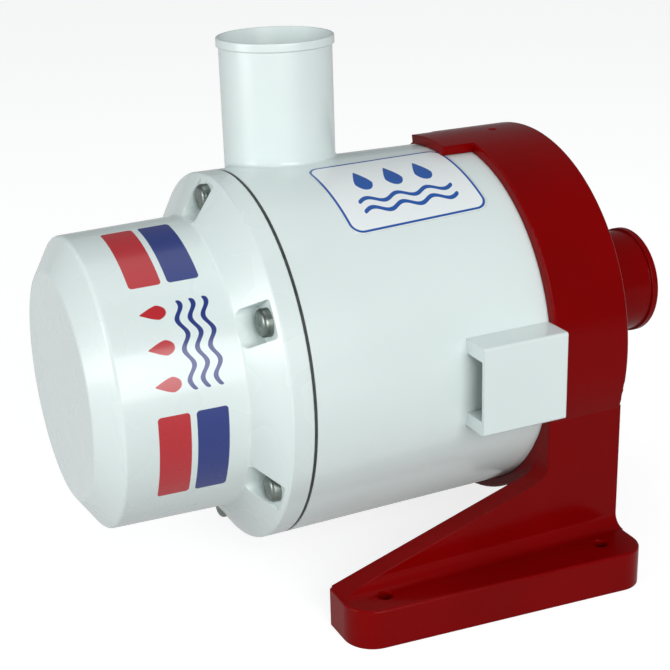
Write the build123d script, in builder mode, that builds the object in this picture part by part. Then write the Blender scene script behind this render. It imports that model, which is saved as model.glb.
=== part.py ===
"""Horizontal centrifugal pump for boats: a sealed motor in a white casing, held by a red foot bracket.

Frame: +X runs along the pump axis from the closed end cover to the inlet, +Z is up.
The origin is on the mounting surface, under the middle of the pump's length.
A "station" is a distance in millimetres along the axis, measured from the cover gasket's middle
plane, positive towards the inlet.
"""
from build123d import *
import os
from math import cos, radians, sin

os.makedirs("parts", exist_ok=True)

# ---------------------------------------------------------------- driving dimensions
axis_height = 80.0
overall_length = 226.0
cover_length = 64.0
gasket_x = cover_length - overall_length / 2

casing_r = 63.5
casing_rear_r = 62.8
casing_wall = 2.6
casing_end = 102.0
gasket_half = 0.5

hose_r = 19.4
hose_bore_r = 16.5
hose_lead_r = 19.2
hose_bead_r = 20.2
outlet_station = 25.2
outlet_offset = 18.0
outlet_top = 104.3
inlet_end = overall_length - cover_length

screw_count = 6
screw_circle_r = 56.5
screw_first_angle = 30.0

ring_front = 85.7
ring_rear = 114.8
ring_outer_r = 66.4
ring_bore_r = 63.0
ring_wall = 3.0

shaft_r = 4.0
bearing_r = 11.0
bearing_width = 7.0
front_bearing_station = -57.0
rear_bearing_station = 63.4
running_gap = 0.05

motor_r = 42.0
motor_bore_r = 38.6
motor_front = -46.0
motor_rear = 62.0
bolt_circle_r = 34.5
bolt_shank_r = 1.9

gland_station = -40.0
gland_angle = 235.0
gland_hole_r = 6.0

# ---------------------------------------------------------------- shared planes and shapes
meridian = Plane(origin=(gasket_x, 0, axis_height), x_dir=(1, 0, 0), z_dir=(0, -1, 0))
pump_axis = Axis((gasket_x, 0, axis_height), (1, 0, 0))


def across(station):
    """Plane square to the pump axis: local x is +Y, local y is +Z, and it faces the inlet."""
    return Plane(origin=(gasket_x + station, 0, axis_height), x_dir=(0, 1, 0), z_dir=(1, 0, 0))


def turned(points, rounding=0.0):
    """Half section for a turned shape, from (station, radius) corners with optional rounding."""
    with BuildSketch(meridian) as section:
        with BuildLine():
            if rounding:
                FilletPolyline(*points, radius=rounding, close=True)
            else:
                Polyline(*points, close=True)
        make_face()
    return section.sketch


def tube(start, end, inner, outer):
    """Half section of a plain tube or ring."""
    return turned([(start, inner), (end, inner), (end, outer), (start, outer)])


def save(part, name):
    part.label = name
    export_step(part, f"parts/{name}.step")


# ---------------------------------------------------------------- end cover with its screw shoulder
cover_wall = 3.0
cover_cavity_r = 46.0
cover_face_r = 38.4
cover_edge_station = -57.0
cover_edge_r = 49.1
neck_station = -16.6
neck_r = 50.0
rim_station = -7.6
pocket_floor = -8.6
pocket_width = 12.5
pocket_outer_r = 62.4
screw_hole_r = 2.25

with BuildPart() as end_cover:
    outline = [
        (-cover_length, 0),
        (-cover_length, cover_face_r),
        (cover_edge_station, cover_edge_r),
        (neck_station, neck_r),
        (rim_station, casing_r),
        (-gasket_half, casing_r),
        (-gasket_half, cover_cavity_r),
        (cover_edge_station + 1.5, cover_cavity_r),
        (-cover_length + cover_wall, cover_face_r - 1.0),
        (-cover_length + cover_wall, 0),
    ]
    revolve(turned(outline, rounding=[0, 1.6, 1.6, 1.2, 0.7, 0.3, 0.3, 1.0, 1.0, 0]), axis=pump_axis)
    with BuildSketch(across(pocket_floor)) as pockets:
        with PolarLocations((neck_r + pocket_outer_r) / 2, screw_count, start_angle=screw_first_angle):
            RectangleRounded(pocket_outer_r - neck_r, pocket_width, 2.2)
        Circle(neck_r - 0.4, mode=Mode.SUBTRACT)
    extrude(amount=neck_station - pocket_floor - 4, mode=Mode.SUBTRACT)
    with BuildSketch(across(-gasket_half)):
        with PolarLocations(screw_circle_r, screw_count, start_angle=screw_first_angle):
            Circle(screw_hole_r)
    extrude(amount=-(cover_length / 4), mode=Mode.SUBTRACT)
    gland_outward = (0, -sin(radians(gland_angle)), cos(radians(gland_angle)))
    gland_plane = Plane(
        origin=(gasket_x + gland_station, 0, axis_height), x_dir=(1, 0, 0), z_dir=gland_outward
    )
    with BuildSketch(gland_plane.offset(cover_cavity_r - 4)):
        Circle(gland_hole_r)
    extrude(amount=cover_wall + 8, mode=Mode.SUBTRACT)
save(end_cover.part, "end_cover")

with BuildPart() as cover_gasket:
    with BuildSketch(across(-gasket_half)):
        Circle(casing_r - 0.25)
        Circle(cover_cavity_r + 1, mode=Mode.SUBTRACT)
        with PolarLocations(screw_circle_r, screw_count, start_angle=screw_first_angle):
            Circle(screw_hole_r, mode=Mode.SUBTRACT)
    extrude(amount=2 * gasket_half)
save(cover_gasket.part, "cover_gasket")

screw_shank_r = 2.1
screw_head_r = 4.6
screw_head_height = 3.3
screw_tip = 9.0
recess_length = 5.0
recess_width = 1.3
recess_depth = 1.7

with BuildPart() as cover_screws:
    with BuildSketch(across(pocket_floor)):
        with PolarLocations(screw_circle_r, screw_count, start_angle=screw_first_angle):
            Circle(screw_head_r)
    extrude(amount=-screw_head_height)
    fillet(cover_screws.faces().sort_by(Axis.X)[:screw_count].edges(), 1.6)
    with BuildSketch(across(pocket_floor)):
        with PolarLocations(screw_circle_r, screw_count, start_angle=screw_first_angle):
            Circle(screw_shank_r)
    extrude(amount=screw_tip - pocket_floor)
    with BuildSketch(across(pocket_floor - screw_head_height)):
        with PolarLocations(screw_circle_r, screw_count, start_angle=screw_first_angle + 8):
            Rectangle(recess_length, recess_width)
            Rectangle(recess_width, recess_length)
    extrude(amount=recess_depth, mode=Mode.SUBTRACT)
save(cover_screws.part, "cover_screws")

insert_r = 3.3
with BuildPart() as threaded_inserts:
    with BuildSketch(across(gasket_half)):
        with PolarLocations(screw_circle_r, screw_count, start_angle=screw_first_angle):
            Circle(insert_r)
            Circle(screw_shank_r + 0.01, mode=Mode.SUBTRACT)
    extrude(amount=screw_tip - gasket_half)
save(threaded_inserts.part, "threaded_inserts")

# ---------------------------------------------------------------- motor canister (dry housing in the water)
canister_r = 46.0
canister_bore_r = 43.4
canister_rear = 83.0
canister_flange_r = 51.5
canister_flange_end = 2.5
seal_pocket_r = 11.05
seal_boss_r = 15.0
seal_boss_start = 75.0
seal_boss_end = 88.4
seal_pocket_start = 77.0

with BuildPart() as motor_canister:
    outline = [
        (gasket_half, canister_bore_r),
        (canister_rear - 3, canister_bore_r),
        (canister_rear - 3, seal_boss_r),
        (seal_boss_start, seal_boss_r),
        (seal_boss_start, shaft_r + 0.8),
        (seal_pocket_start, shaft_r + 0.8),
        (seal_pocket_start, seal_pocket_r),
        (seal_boss_end, seal_pocket_r),
        (seal_boss_end, seal_boss_r),
        (canister_rear, seal_boss_r + 2),
        (canister_rear, canister_r),
        (canister_flange_end, canister_r),
        (canister_flange_end, canister_flange_r),
        (gasket_half, canister_flange_r),
    ]
    revolve(turned(outline), axis=pump_axis)
    fillet(motor_canister.edges().filter_by(GeomType.CIRCLE).group_by(SortBy.RADIUS)[-2].sort_by(Axis.X)[-1], 2)
save(motor_canister.part, "motor_canister")

# ---------------------------------------------------------------- pump casing with outlet and latch loops
front_flange_end = 5.5
front_flange_bore_r = canister_r + 0.3
rear_flange_start = 98.0
rear_flange_bore_r = 53.0
rear_screw_r = 57.0
rear_screw_shank_r = 1.6
rear_screw_depth = 10.0
loop_front = 54.3
loop_outer = 72.7
loop_half_height = 15.2
loop_slot_half = 10.3
loop_slot_outer = loop_outer - 1.2
loop_catch_station = 76.0
loop_catch_outer = 69.4
spigot_blend_r = 1.0

with BuildPart() as pump_casing:
    shell = [
        (gasket_half, 0),
        (gasket_half, casing_r),
        (ring_front, casing_rear_r),
        (casing_end, casing_rear_r),
        (casing_end, 0),
    ]
    revolve(turned(shell), axis=pump_axis)
    spigot_plane = Plane(origin=(gasket_x + outlet_station, outlet_offset, axis_height))
    with BuildSketch(spigot_plane):
        Circle(hose_r)
    extrude(amount=outlet_top)
    spigot_foot = pump_casing.edges(Select.LAST).filter_by_position(Axis.Z, axis_height, axis_height + casing_r)
    fillet(spigot_foot, spigot_blend_r)
    with BuildSketch(spigot_plane.offset(outlet_top - 2.8)):
        Circle(hose_bead_r)
    extrude(amount=2.8)
    fillet(pump_casing.edges().filter_by(GeomType.CIRCLE).group_by(Axis.Z)[-1], 0.5)
    for side in (-1, 1):
        with BuildSketch(Plane.XZ.offset(-side * casing_r / 2)):
            with Locations((gasket_x + (loop_front + ring_front) / 2, axis_height)):
                Rectangle(ring_front - loop_front, 2 * loop_half_height)
        extrude(amount=-side * (loop_outer - casing_r / 2))
    fillet(
        pump_casing.edges().filter_by(Axis.X).filter_by_position(Axis.Z, axis_height - 20, axis_height + 20),
        0.9,
    )
    cavity = [
        (-1, 0),
        (-1, canister_flange_r + 0.1),
        (canister_flange_end, canister_flange_r + 0.1),
        (canister_flange_end, front_flange_bore_r),
        (front_flange_end, front_flange_bore_r),
        (front_flange_end, casing_r - casing_wall),
        (ring_front, casing_rear_r - casing_wall),
        (rear_flange_start, casing_rear_r - casing_wall),
        (rear_flange_start, rear_flange_bore_r),
        (casing_end + 1, rear_flange_bore_r),
        (casing_end + 1, 0),
    ]
    revolve(turned(cavity), axis=pump_axis, mode=Mode.SUBTRACT)
    with BuildSketch(across(front_flange_end)):
        with PolarLocations(screw_circle_r, screw_count, start_angle=screw_first_angle):
            Circle(insert_r + 2)
    extrude(amount=screw_tip + 1.5 - front_flange_end)
    with BuildSketch(across(gasket_half)):
        with PolarLocations(screw_circle_r, screw_count, start_angle=screw_first_angle):
            Circle(insert_r)
    extrude(amount=screw_tip - gasket_half, mode=Mode.SUBTRACT)
    with BuildSketch(across(rear_flange_start)):
        with PolarLocations(rear_screw_r, screw_count):
            Circle(rear_screw_shank_r + 2.2)
    extrude(amount=-6)
    with BuildSketch(across(casing_end)):
        with PolarLocations(rear_screw_r, screw_count):
            Circle(rear_screw_shank_r)
    extrude(amount=-rear_screw_depth, mode=Mode.SUBTRACT)
    with BuildSketch(spigot_plane.offset(canister_r + 3)):
        Circle(hose_bore_r)
    extrude(amount=outlet_top, mode=Mode.SUBTRACT)
    with BuildSketch(spigot_plane.offset(outlet_top)):
        Circle(hose_lead_r)
    extrude(amount=-7, taper=22, mode=Mode.SUBTRACT)
    for side in (-1, 1):
        for start, outer in ((loop_front - 1, loop_slot_outer), (loop_catch_station - 1, loop_catch_outer)):
            end = loop_catch_station if start < loop_catch_station - 1 else ring_front + 1
            slot_plane = Plane.XZ.offset(-side * casing_r / 2)
            with BuildSketch(slot_plane):
                with Locations((gasket_x + (start + end) / 2, axis_height)):
                    Rectangle(end - start, 2 * loop_slot_half)
            extrude(amount=-side * (outer - casing_r / 2), mode=Mode.SUBTRACT)
    barrel = [
        (loop_front - 3, casing_r - casing_wall),
        (loop_front - 3, casing_r - (casing_r - casing_rear_r) * (loop_front - 3) / ring_front),
        (ring_front, casing_rear_r),
        (ring_front + 2, casing_rear_r),
        (ring_front + 2, casing_rear_r - casing_wall),
        (ring_front, casing_rear_r - casing_wall),
    ]
    revolve(turned(barrel), axis=pump_axis)
save(pump_casing.part, "pump_casing")

# ---------------------------------------------------------------- guide vanes in the water passage
vane_sleeve_r = 47.6
vane_tip_r = 59.8
vane_start = 62.0
vane_end = 79.0
vane_count = 8
vane_thickness = 1.8
vane_lean = 22.0

with BuildPart() as guide_vane_ring:
    for index in range(vane_count):
        angle = 360 / vane_count * (index + 0.5)
        middle = across((vane_start + vane_end) / 2).rotated((0, 0, angle))
        with BuildSketch(Plane(origin=middle.origin, x_dir=middle.z_dir, z_dir=middle.x_dir)):
            Rectangle(vane_end - vane_start + 8, vane_thickness, rotation=vane_lean)
        extrude(amount=vane_tip_r)
    revolve(tube(vane_start, vane_end, canister_r + 0.8, vane_tip_r), axis=pump_axis, mode=Mode.INTERSECT)
    revolve(tube(vane_start, vane_end, canister_r + 0.05, vane_sleeve_r), axis=pump_axis)
save(guide_vane_ring.part, "guide_vane_ring")

# ---------------------------------------------------------------- suction cover with its seals and screws
rear_gasket_thickness = 0.8
suction_cover_r = 62.3
suction_plate = 3.0
suction_plate_start = casing_end + rear_gasket_thickness
suction_plate_end = suction_plate_start + suction_plate
stub_r = 19.5
stub_end = 111.5
o_ring_groove_start = 107.9
o_ring_groove_end = 110.3
o_ring_section_r = 1.15
o_ring_groove_r = 18.2

with BuildPart() as rear_gasket:
    with BuildSketch(across(casing_end)):
        Circle(suction_cover_r)
        Circle(rear_flange_bore_r, mode=Mode.SUBTRACT)
        with PolarLocations(rear_screw_r, screw_count):
            Circle(rear_screw_shank_r + 0.1, mode=Mode.SUBTRACT)
    extrude(amount=rear_gasket_thickness)
save(rear_gasket.part, "rear_gasket")

with BuildPart() as suction_cover:
    outline = [
        (suction_plate_start, hose_bore_r),
        (suction_plate_start, suction_cover_r),
        (suction_plate_end, suction_cover_r),
        (suction_plate_end, stub_r),
        (o_ring_groove_start, stub_r),
        (o_ring_groove_start, o_ring_groove_r),
        (o_ring_groove_end, o_ring_groove_r),
        (o_ring_groove_end, stub_r),
        (stub_end, stub_r),
        (stub_end, hose_bore_r),
    ]
    revolve(turned(outline), axis=pump_axis)
    with BuildSketch(across(suction_plate_start)):
        with PolarLocations(rear_screw_r, screw_count):
            Circle(rear_screw_shank_r + 0.1)
    extrude(amount=suction_plate, mode=Mode.SUBTRACT)
save(suction_cover.part, "suction_cover")

rear_screw_head_r = 3.1
rear_screw_head_height = 2.2
with BuildPart() as suction_cover_screws:
    with BuildSketch(across(suction_plate_end)):
        with PolarLocations(rear_screw_r, screw_count):
            Circle(rear_screw_head_r)
    extrude(amount=rear_screw_head_height)
    fillet(suction_cover_screws.faces().sort_by(Axis.X)[-screw_count:].edges(), 0.8)
    with BuildSketch(across(suction_plate_end)):
        with PolarLocations(rear_screw_r, screw_count):
            Circle(rear_screw_shank_r - 0.02)
    extrude(amount=casing_end - rear_screw_depth + 1 - suction_plate_end)
    with BuildSketch(across(suction_plate_end + rear_screw_head_height)):
        with PolarLocations(rear_screw_r, screw_count):
            Rectangle(3.2, 0.8)
            Rectangle(0.8, 3.2)
    extrude(amount=-1.2, mode=Mode.SUBTRACT)
save(suction_cover_screws.part, "suction_cover_screws")

with BuildPart() as inlet_o_ring:
    with BuildSketch(meridian):
        with Locations(((o_ring_groove_start + o_ring_groove_end) / 2, o_ring_groove_r + o_ring_section_r)):
            Circle(o_ring_section_r - 0.01)
    revolve(axis=pump_axis)
save(inlet_o_ring.part, "inlet_o_ring")

# ---------------------------------------------------------------- foot bracket with band, legs and inlet
foot_thickness = 14.0
foot_front = 6.0
foot_inner = 55.0
foot_outer_front = 75.9
foot_outer_rear = 83.7
leg_inner = 37.0
leg_outer = 63.0
leg_wall = 3.5
leg_top = 60.0
gusset_rear_top = 38.8
front_hole = (20.1, 68.4)
rear_hole = (101.6, 72.6)
foot_hole_r = 2.6
hole_boss_r = 6.5
foot_cavity_depth = 10.0
foot_web = 3.5
side_blend_r = 4.5
tongue_front = 73.7
tongue_half_angle = 10.0
socket_r = o_ring_groove_r + 2 * o_ring_section_r
snap_arm_tip = 72.0
snap_arm_half_width = 8.0
snap_arm_inner = 64.4
snap_arm_outer = 67.6
snap_barb_outer = 70.6
snap_barb_end = loop_catch_station - 0.4
gate_mark_station = 100.2

foot_rear = ring_rear
foot_outline = [
    (gasket_x + foot_front, foot_inner),
    (gasket_x + foot_front, foot_outer_front),
    (gasket_x + foot_rear, foot_outer_rear),
    (gasket_x + foot_rear, leg_inner),
    (gasket_x + ring_front, leg_inner),
    (gasket_x + ring_front, foot_inner),
]
foot_rounding = [0.8, 10.5, 9.0, 1.0, 1.0, 5.0]

with BuildPart() as bracket:
    with BuildSketch():
        with BuildLine():
            FilletPolyline(*foot_outline, radius=foot_rounding, close=True)
        make_face()
    extrude(amount=foot_thickness)
    top_rim = bracket.edges().group_by(Axis.Z)[-1].filter_by_position(Axis.Y, leg_outer + 2, 100)
    fillet(top_rim, 0.8)
    side_profile = [
        (gasket_x + foot_front + 1, foot_thickness - 1),
        (gasket_x + foot_front + 1, foot_thickness + 0.3),
        (gasket_x + ring_front, gusset_rear_top),
        (gasket_x + ring_front, leg_top),
        (gasket_x + foot_rear, leg_top),
        (gasket_x + foot_rear, foot_thickness - 1),
    ]
    with BuildSketch(Plane.XZ.offset(-leg_outer - side_blend_r)):
        with BuildLine():
            FilletPolyline(*side_profile, radius=[0, 0, 6.0, 0, 0, 0], close=True)
        make_face()
    extrude(amount=leg_outer + side_blend_r - foot_inner)
    blend_centre = (leg_outer + side_blend_r, foot_thickness + side_blend_r)
    with BuildSketch(Plane.YZ.offset(gasket_x)):
        with Locations(blend_centre):
            Circle(side_blend_r)
            Rectangle(2 * side_blend_r, leg_top, align=(Align.CENTER, Align.MIN))
    extrude(amount=foot_rear + 1, mode=Mode.SUBTRACT)
    with BuildSketch(Plane.XY.offset(foot_thickness / 2)):
        with Locations((gasket_x + (ring_front + foot_rear) / 2, (leg_inner + leg_outer) / 2)):
            Rectangle(foot_rear - ring_front, leg_outer - leg_inner)
    extrude(amount=leg_top - foot_thickness / 2)
    with BuildSketch(Plane.XY.offset(foot_thickness)):
        with Locations((gasket_x + (ring_front + leg_wall + foot_rear + 1) / 2, (leg_inner + leg_outer) / 2)):
            Rectangle(foot_rear + 1 - ring_front - leg_wall, leg_outer - leg_inner - 2 * leg_wall)
    extrude(amount=leg_top - foot_thickness + 1, mode=Mode.SUBTRACT)
    with BuildSketch():
        with BuildLine():
            FilletPolyline(*foot_outline, radius=foot_rounding, close=True)
        make_face()
        offset(amount=-foot_web)
        for station, reach in (front_hole, rear_hole):
            with Locations((gasket_x + station, reach)):
                Circle(hole_boss_r, mode=Mode.SUBTRACT)
        with Locations((gasket_x + ring_front - foot_web / 2, foot_outer_front)):
            Rectangle(foot_web, foot_outer_rear, mode=Mode.SUBTRACT)
    extrude(amount=foot_cavity_depth, mode=Mode.SUBTRACT)
    with BuildSketch(Plane.XY.offset(-1)):
        for station, reach in (front_hole, rear_hole):
            with Locations((gasket_x + station, reach)):
                Circle(foot_hole_r)
    extrude(amount=foot_thickness + 6, mode=Mode.SUBTRACT)
    mirror(about=Plane.XZ)
    band = [
        (ring_front, 0),
        (ring_front, ring_outer_r),
        (ring_rear, ring_outer_r),
        (ring_rear, 0),
    ]
    revolve(turned(band, rounding=[0, 0.6, 1.2, 0]), axis=pump_axis)
    with BuildSketch(across(tongue_front)):
        with BuildLine():
            Line((0, 0), (ring_outer_r * 1.1 * sin(radians(tongue_half_angle)), ring_outer_r * 1.1))
            Line(
                (ring_outer_r * 1.1 * sin(radians(tongue_half_angle)), ring_outer_r * 1.1),
                (-ring_outer_r * 1.1 * sin(radians(tongue_half_angle)), ring_outer_r * 1.1),
            )
            Line((-ring_outer_r * 1.1 * sin(radians(tongue_half_angle)), ring_outer_r * 1.1), (0, 0))
        make_face()
        Circle(ring_outer_r, mode=Mode.INTERSECT)
    extrude(amount=ring_front - tongue_front + 2)
    bore = [
        (tongue_front - 1, 0),
        (tongue_front - 1, ring_bore_r + 0.15),
        (ring_front, ring_bore_r),
        (ring_rear - ring_wall, ring_bore_r),
        (ring_rear - ring_wall, socket_r + 3),
        (o_ring_groove_start - 1.2, socket_r + 3),
        (o_ring_groove_start - 1.2, socket_r),
        (ring_rear - ring_wall, socket_r),
        (ring_rear - ring_wall, hose_bore_r),
        (ring_rear + 1, hose_bore_r),
        (ring_rear + 1, 0),
    ]
    revolve(turned(bore), axis=pump_axis, mode=Mode.SUBTRACT)
    for side in (-1, 1):
        arm = [
            (gasket_x + ring_front + 2, side * (ring_bore_r + 0.6)),
            (gasket_x + ring_front, side * snap_arm_inner),
            (gasket_x + snap_arm_tip, side * snap_arm_inner),
            (gasket_x + snap_arm_tip, side * snap_arm_outer),
            (gasket_x + snap_barb_end - 1.5, side * snap_barb_outer),
            (gasket_x + snap_barb_end, side * snap_barb_outer),
            (gasket_x + snap_barb_end, side * snap_arm_outer),
            (gasket_x + ring_front, side * snap_arm_outer),
            (gasket_x + ring_front + 2, side * (ring_outer_r - 0.4)),
        ]
        with BuildSketch(Plane.XY.offset(axis_height - snap_arm_half_width)):
            with BuildLine():
                Polyline(*arm, close=True)
            make_face()
        extrude(amount=2 * snap_arm_half_width)
    with BuildSketch(Plane(origin=(gasket_x + gate_mark_station, 0, axis_height + ring_outer_r))):
        Circle(1.6)
    extrude(amount=-0.5, taper=35, mode=Mode.SUBTRACT)
save(bracket.part, "bracket")

# ---------------------------------------------------------------- inlet spigot on the rear face of the band
spigot_flange = 0.4
spigot_flange_r = hose_r + 3.6

with BuildPart() as inlet_nozzle:
    spigot = [
        (ring_rear, 0),
        (ring_rear, spigot_flange_r),
        (ring_rear + spigot_flange, spigot_flange_r),
        (ring_rear + spigot_flange, hose_r),
        (inlet_end - 2.8, hose_r),
        (inlet_end - 2.8, hose_bead_r),
        (inlet_end, hose_bead_r),
        (inlet_end, 0),
    ]
    revolve(turned(spigot, rounding=[0, 0, 0.3, 2.6, 0.3, 0.35, 0.6, 0]), axis=pump_axis)
    waterway = [
        (ring_rear - 1, 0),
        (ring_rear - 1, hose_bore_r),
        (inlet_end - 7, hose_bore_r),
        (inlet_end + 0.4, hose_lead_r + 0.16),
        (inlet_end + 0.4, 0),
    ]
    revolve(turned(waterway), axis=pump_axis, mode=Mode.SUBTRACT)
save(inlet_nozzle.part, "inlet_nozzle")

# ---------------------------------------------------------------- stick-on label
label_thickness = 0.15
label_front = 23.8
label_rear = 76.0
label_top_angle = 5.0
label_span = 34.0
label_corner_r = 4.5
label_turn = 3.2


def casing_radius(station):
    """Outside radius of the slightly tapered casing at a station."""
    return casing_r + (casing_rear_r - casing_r) * (station - gasket_half) / (ring_front - gasket_half)


label_middle = radians(label_top_angle + label_span / 2)
label_plane = Plane(
    origin=(gasket_x + (label_front + label_rear) / 2, 0, axis_height),
    x_dir=(1, 0, 0),
    z_dir=(0, -sin(label_middle), cos(label_middle)),
)
label_margin = 3.0
label_front_r = casing_radius(label_front - label_margin) + 0.01
label_rear_r = casing_radius(label_rear + label_margin) + 0.01

with BuildPart() as casing_label:
    skin = [
        (label_front - label_margin, label_front_r),
        (label_rear + label_margin, label_rear_r),
        (label_rear + label_margin, label_rear_r + label_thickness),
        (label_front - label_margin, label_front_r + label_thickness),
    ]
    turned_skin = turned(skin).rotate(pump_axis, label_top_angle - label_margin)
    revolve(turned_skin, axis=pump_axis, revolution_arc=label_span + 2 * label_margin)
    with BuildSketch(label_plane):
        label_width = 2 * label_rear_r * sin(radians(label_span / 2))
        RectangleRounded(label_rear - label_front, label_width, label_corner_r, rotation=label_turn)
    extrude(amount=2 * casing_r, mode=Mode.INTERSECT)
save(casing_label.part, "casing_label")

# ---------------------------------------------------------------- cable gland, on the cover's hidden side
gland_flange_r = 8.6
gland_nose_r = 5.4
gland_bore_r = 3.0
gland_length = 9.0

with BuildPart() as wire_gland:
    with BuildSketch(gland_plane.offset(cover_edge_r - 2)):
        Circle(gland_flange_r)
    extrude(amount=4)
    with BuildSketch(gland_plane.offset(cover_edge_r + 2)):
        Circle(gland_flange_r - 1.2)
    with BuildSketch(gland_plane.offset(cover_edge_r + gland_length)):
        Circle(gland_nose_r)
    loft()
    barrel_skin = [
        (-cover_length, 0),
        (cover_edge_station, cover_edge_r),
        (neck_station, neck_r),
        (neck_station, 0),
    ]
    revolve(turned(barrel_skin), axis=pump_axis, mode=Mode.SUBTRACT)
    with BuildSketch(gland_plane.offset(cover_cavity_r)):
        Circle(gland_hole_r)
    extrude(amount=cover_wall + 1.5)
    with BuildSketch(gland_plane.offset(cover_cavity_r - 1)):
        Circle(gland_bore_r)
    extrude(amount=gland_length + 8, mode=Mode.SUBTRACT)
save(wire_gland.part, "wire_gland")

# ---------------------------------------------------------------- motor can, magnets and end plates
bell_thickness = 4.0
bearing_boss_r = 14.0
bearing_fit_r = bearing_r + 0.02
bolt_hole_r = 2.1
magnet_bore_r = 31.4
magnet_start = -30.0
magnet_end = 40.0
magnet_half_angle = 65.0
clip_thickness = 0.8
clip_half_angle = 21.0

with BuildPart() as flux_ring:
    revolve(tube(motor_front, motor_rear, motor_bore_r, motor_r), axis=pump_axis)
save(flux_ring.part, "flux_ring")

with BuildPart() as field_magnets:
    magnet_section = tube(magnet_start, magnet_end, magnet_bore_r, motor_bore_r - 0.05)
    for middle_angle in (0, 180):
        start = magnet_section.rotate(pump_axis, middle_angle - magnet_half_angle)
        revolve(start, axis=pump_axis, revolution_arc=2 * magnet_half_angle)
save(field_magnets.part, "field_magnets")

with BuildPart() as magnet_clips:
    clip_section = tube(magnet_start + 6, magnet_end - 6, motor_bore_r - 0.1 - clip_thickness, motor_bore_r - 0.1)
    for middle_angle in (90, 270):
        start = clip_section.rotate(pump_axis, middle_angle - clip_half_angle)
        revolve(start, axis=pump_axis, revolution_arc=2 * clip_half_angle)
save(magnet_clips.part, "magnet_clips")

bell_front = motor_front - bell_thickness
bell_boss_front = -59.6
bearing_stop_front = -58.3
with BuildPart() as front_end_bell:
    outline = [
        (motor_front, bearing_fit_r),
        (motor_front, motor_r),
        (bell_front, motor_r),
        (bell_front, bearing_boss_r),
        (bell_boss_front, bearing_boss_r),
        (bell_boss_front, 0),
        (bearing_stop_front, 0),
        (bearing_stop_front, bearing_fit_r),
    ]
    revolve(turned(outline), axis=pump_axis)
    with BuildSketch(across(bell_front - 1)):
        with PolarLocations(bolt_circle_r, 2):
            Circle(bolt_hole_r)
    extrude(amount=bell_thickness + 2, mode=Mode.SUBTRACT)
save(front_end_bell.part, "front_end_bell")

with BuildPart() as bearing_spring_washer:
    cone = [
        (bearing_stop_front, 7.0),
        (bearing_stop_front + 0.35, 7.0),
        (front_bearing_station, 10.6),
        (front_bearing_station - 0.35, 10.6),
    ]
    revolve(turned(cone), axis=pump_axis)
save(bearing_spring_washer.part, "bearing_spring_washer")

rear_boss_end = 72.0
with BuildPart() as rear_end_plate:
    outline = [
        (motor_rear, bearing_fit_r),
        (motor_rear, motor_r),
        (motor_rear + bell_thickness, motor_r),
        (motor_rear + bell_thickness, bearing_boss_r),
        (rear_boss_end, bearing_boss_r),
        (rear_boss_end, shaft_r + 1),
        (rear_bearing_station + bearing_width, shaft_r + 1),
        (rear_bearing_station + bearing_width, bearing_fit_r),
    ]
    revolve(turned(outline), axis=pump_axis)
    with BuildSketch(across(motor_rear - 1)):
        with PolarLocations(bolt_circle_r, 2):
            Circle(bolt_shank_r + 0.01)
    extrude(amount=bell_thickness + 2, mode=Mode.SUBTRACT)
save(rear_end_plate.part, "rear_end_plate")

bolt_head_r = 3.4
bolt_head_height = 2.6
with BuildPart() as motor_through_bolts:
    with BuildSketch(across(bell_front)):
        with PolarLocations(bolt_circle_r, 2):
            Circle(bolt_head_r)
    extrude(amount=-bolt_head_height)
    with BuildSketch(across(bell_front)):
        with PolarLocations(bolt_circle_r, 2):
            Circle(bolt_shank_r)
    extrude(amount=motor_rear + bell_thickness - 0.5 - bell_front)
    with BuildSketch(across(bell_front - bolt_head_height)):
        with PolarLocations(bolt_circle_r, 2):
            Rectangle(0.9, 2 * bolt_head_r)
    extrude(amount=1.1, mode=Mode.SUBTRACT)
save(motor_through_bolts.part, "motor_through_bolts")

# Soft rings that hold the motor in the cover and in the canister.
for name, start, end, outer in (
    ("front_mount_ring", -28.0, -20.0, cover_cavity_r),
    ("rear_mount_ring", 50.0, 58.0, canister_bore_r),
):
    with BuildPart() as mount_ring:
        revolve(tube(start, end, motor_r, outer), axis=pump_axis)
    save(mount_ring.part, name)

# ---------------------------------------------------------------- shaft seals
seal_length = 5.0
with BuildPart() as shaft_seals:
    for start in (seal_pocket_start + 0.2, seal_pocket_start + 5.5):
        end = start + seal_length
        lip = [
            (start, shaft_r + 1.2),
            (start, bearing_r),
            (end, bearing_r),
            (end, bearing_r - 1.2),
            (start + 1.3, bearing_r - 1.2),
            (start + 1.3, shaft_r + 2.0),
            (end - 1.0, shaft_r + 1.4),
            (end - 1.0, shaft_r + running_gap),
            (end - 1.6, shaft_r + running_gap),
        ]
        revolve(turned(lip), axis=pump_axis)
save(shaft_seals.part, "shaft_seals")

with BuildPart() as seal_retainer:
    revolve(tube(seal_boss_end - 0.8, seal_boss_end - 0.1, shaft_r + 4.6, bearing_r), axis=pump_axis)
save(seal_retainer.part, "seal_retainer")

# ---------------------------------------------------------------- brush gear
card_front = -45.6
card_rear = -43.5
commutator_r = 12.0
brush_station = -40.3
brush_axial = 5.0
brush_width = 7.0
brush_tip_r = commutator_r + 0.06
brush_tail_r = 22.06
holder_wall = 0.6
holder_gap = 0.1
holder_start_r = 14.5
holder_end_r = 32.0
spring_coil_r = 1.9
spring_wire_r = 0.25
spring_turns = 5

with BuildPart() as brush_card:
    with BuildSketch(across(card_front)):
        Circle(motor_bore_r - 0.3)
        Circle(commutator_r + 1.2, mode=Mode.SUBTRACT)
        with PolarLocations(bolt_circle_r, 2):
            Circle(bolt_hole_r, mode=Mode.SUBTRACT)
    extrude(amount=card_rear - card_front)
save(brush_card.part, "brush_card")

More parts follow.
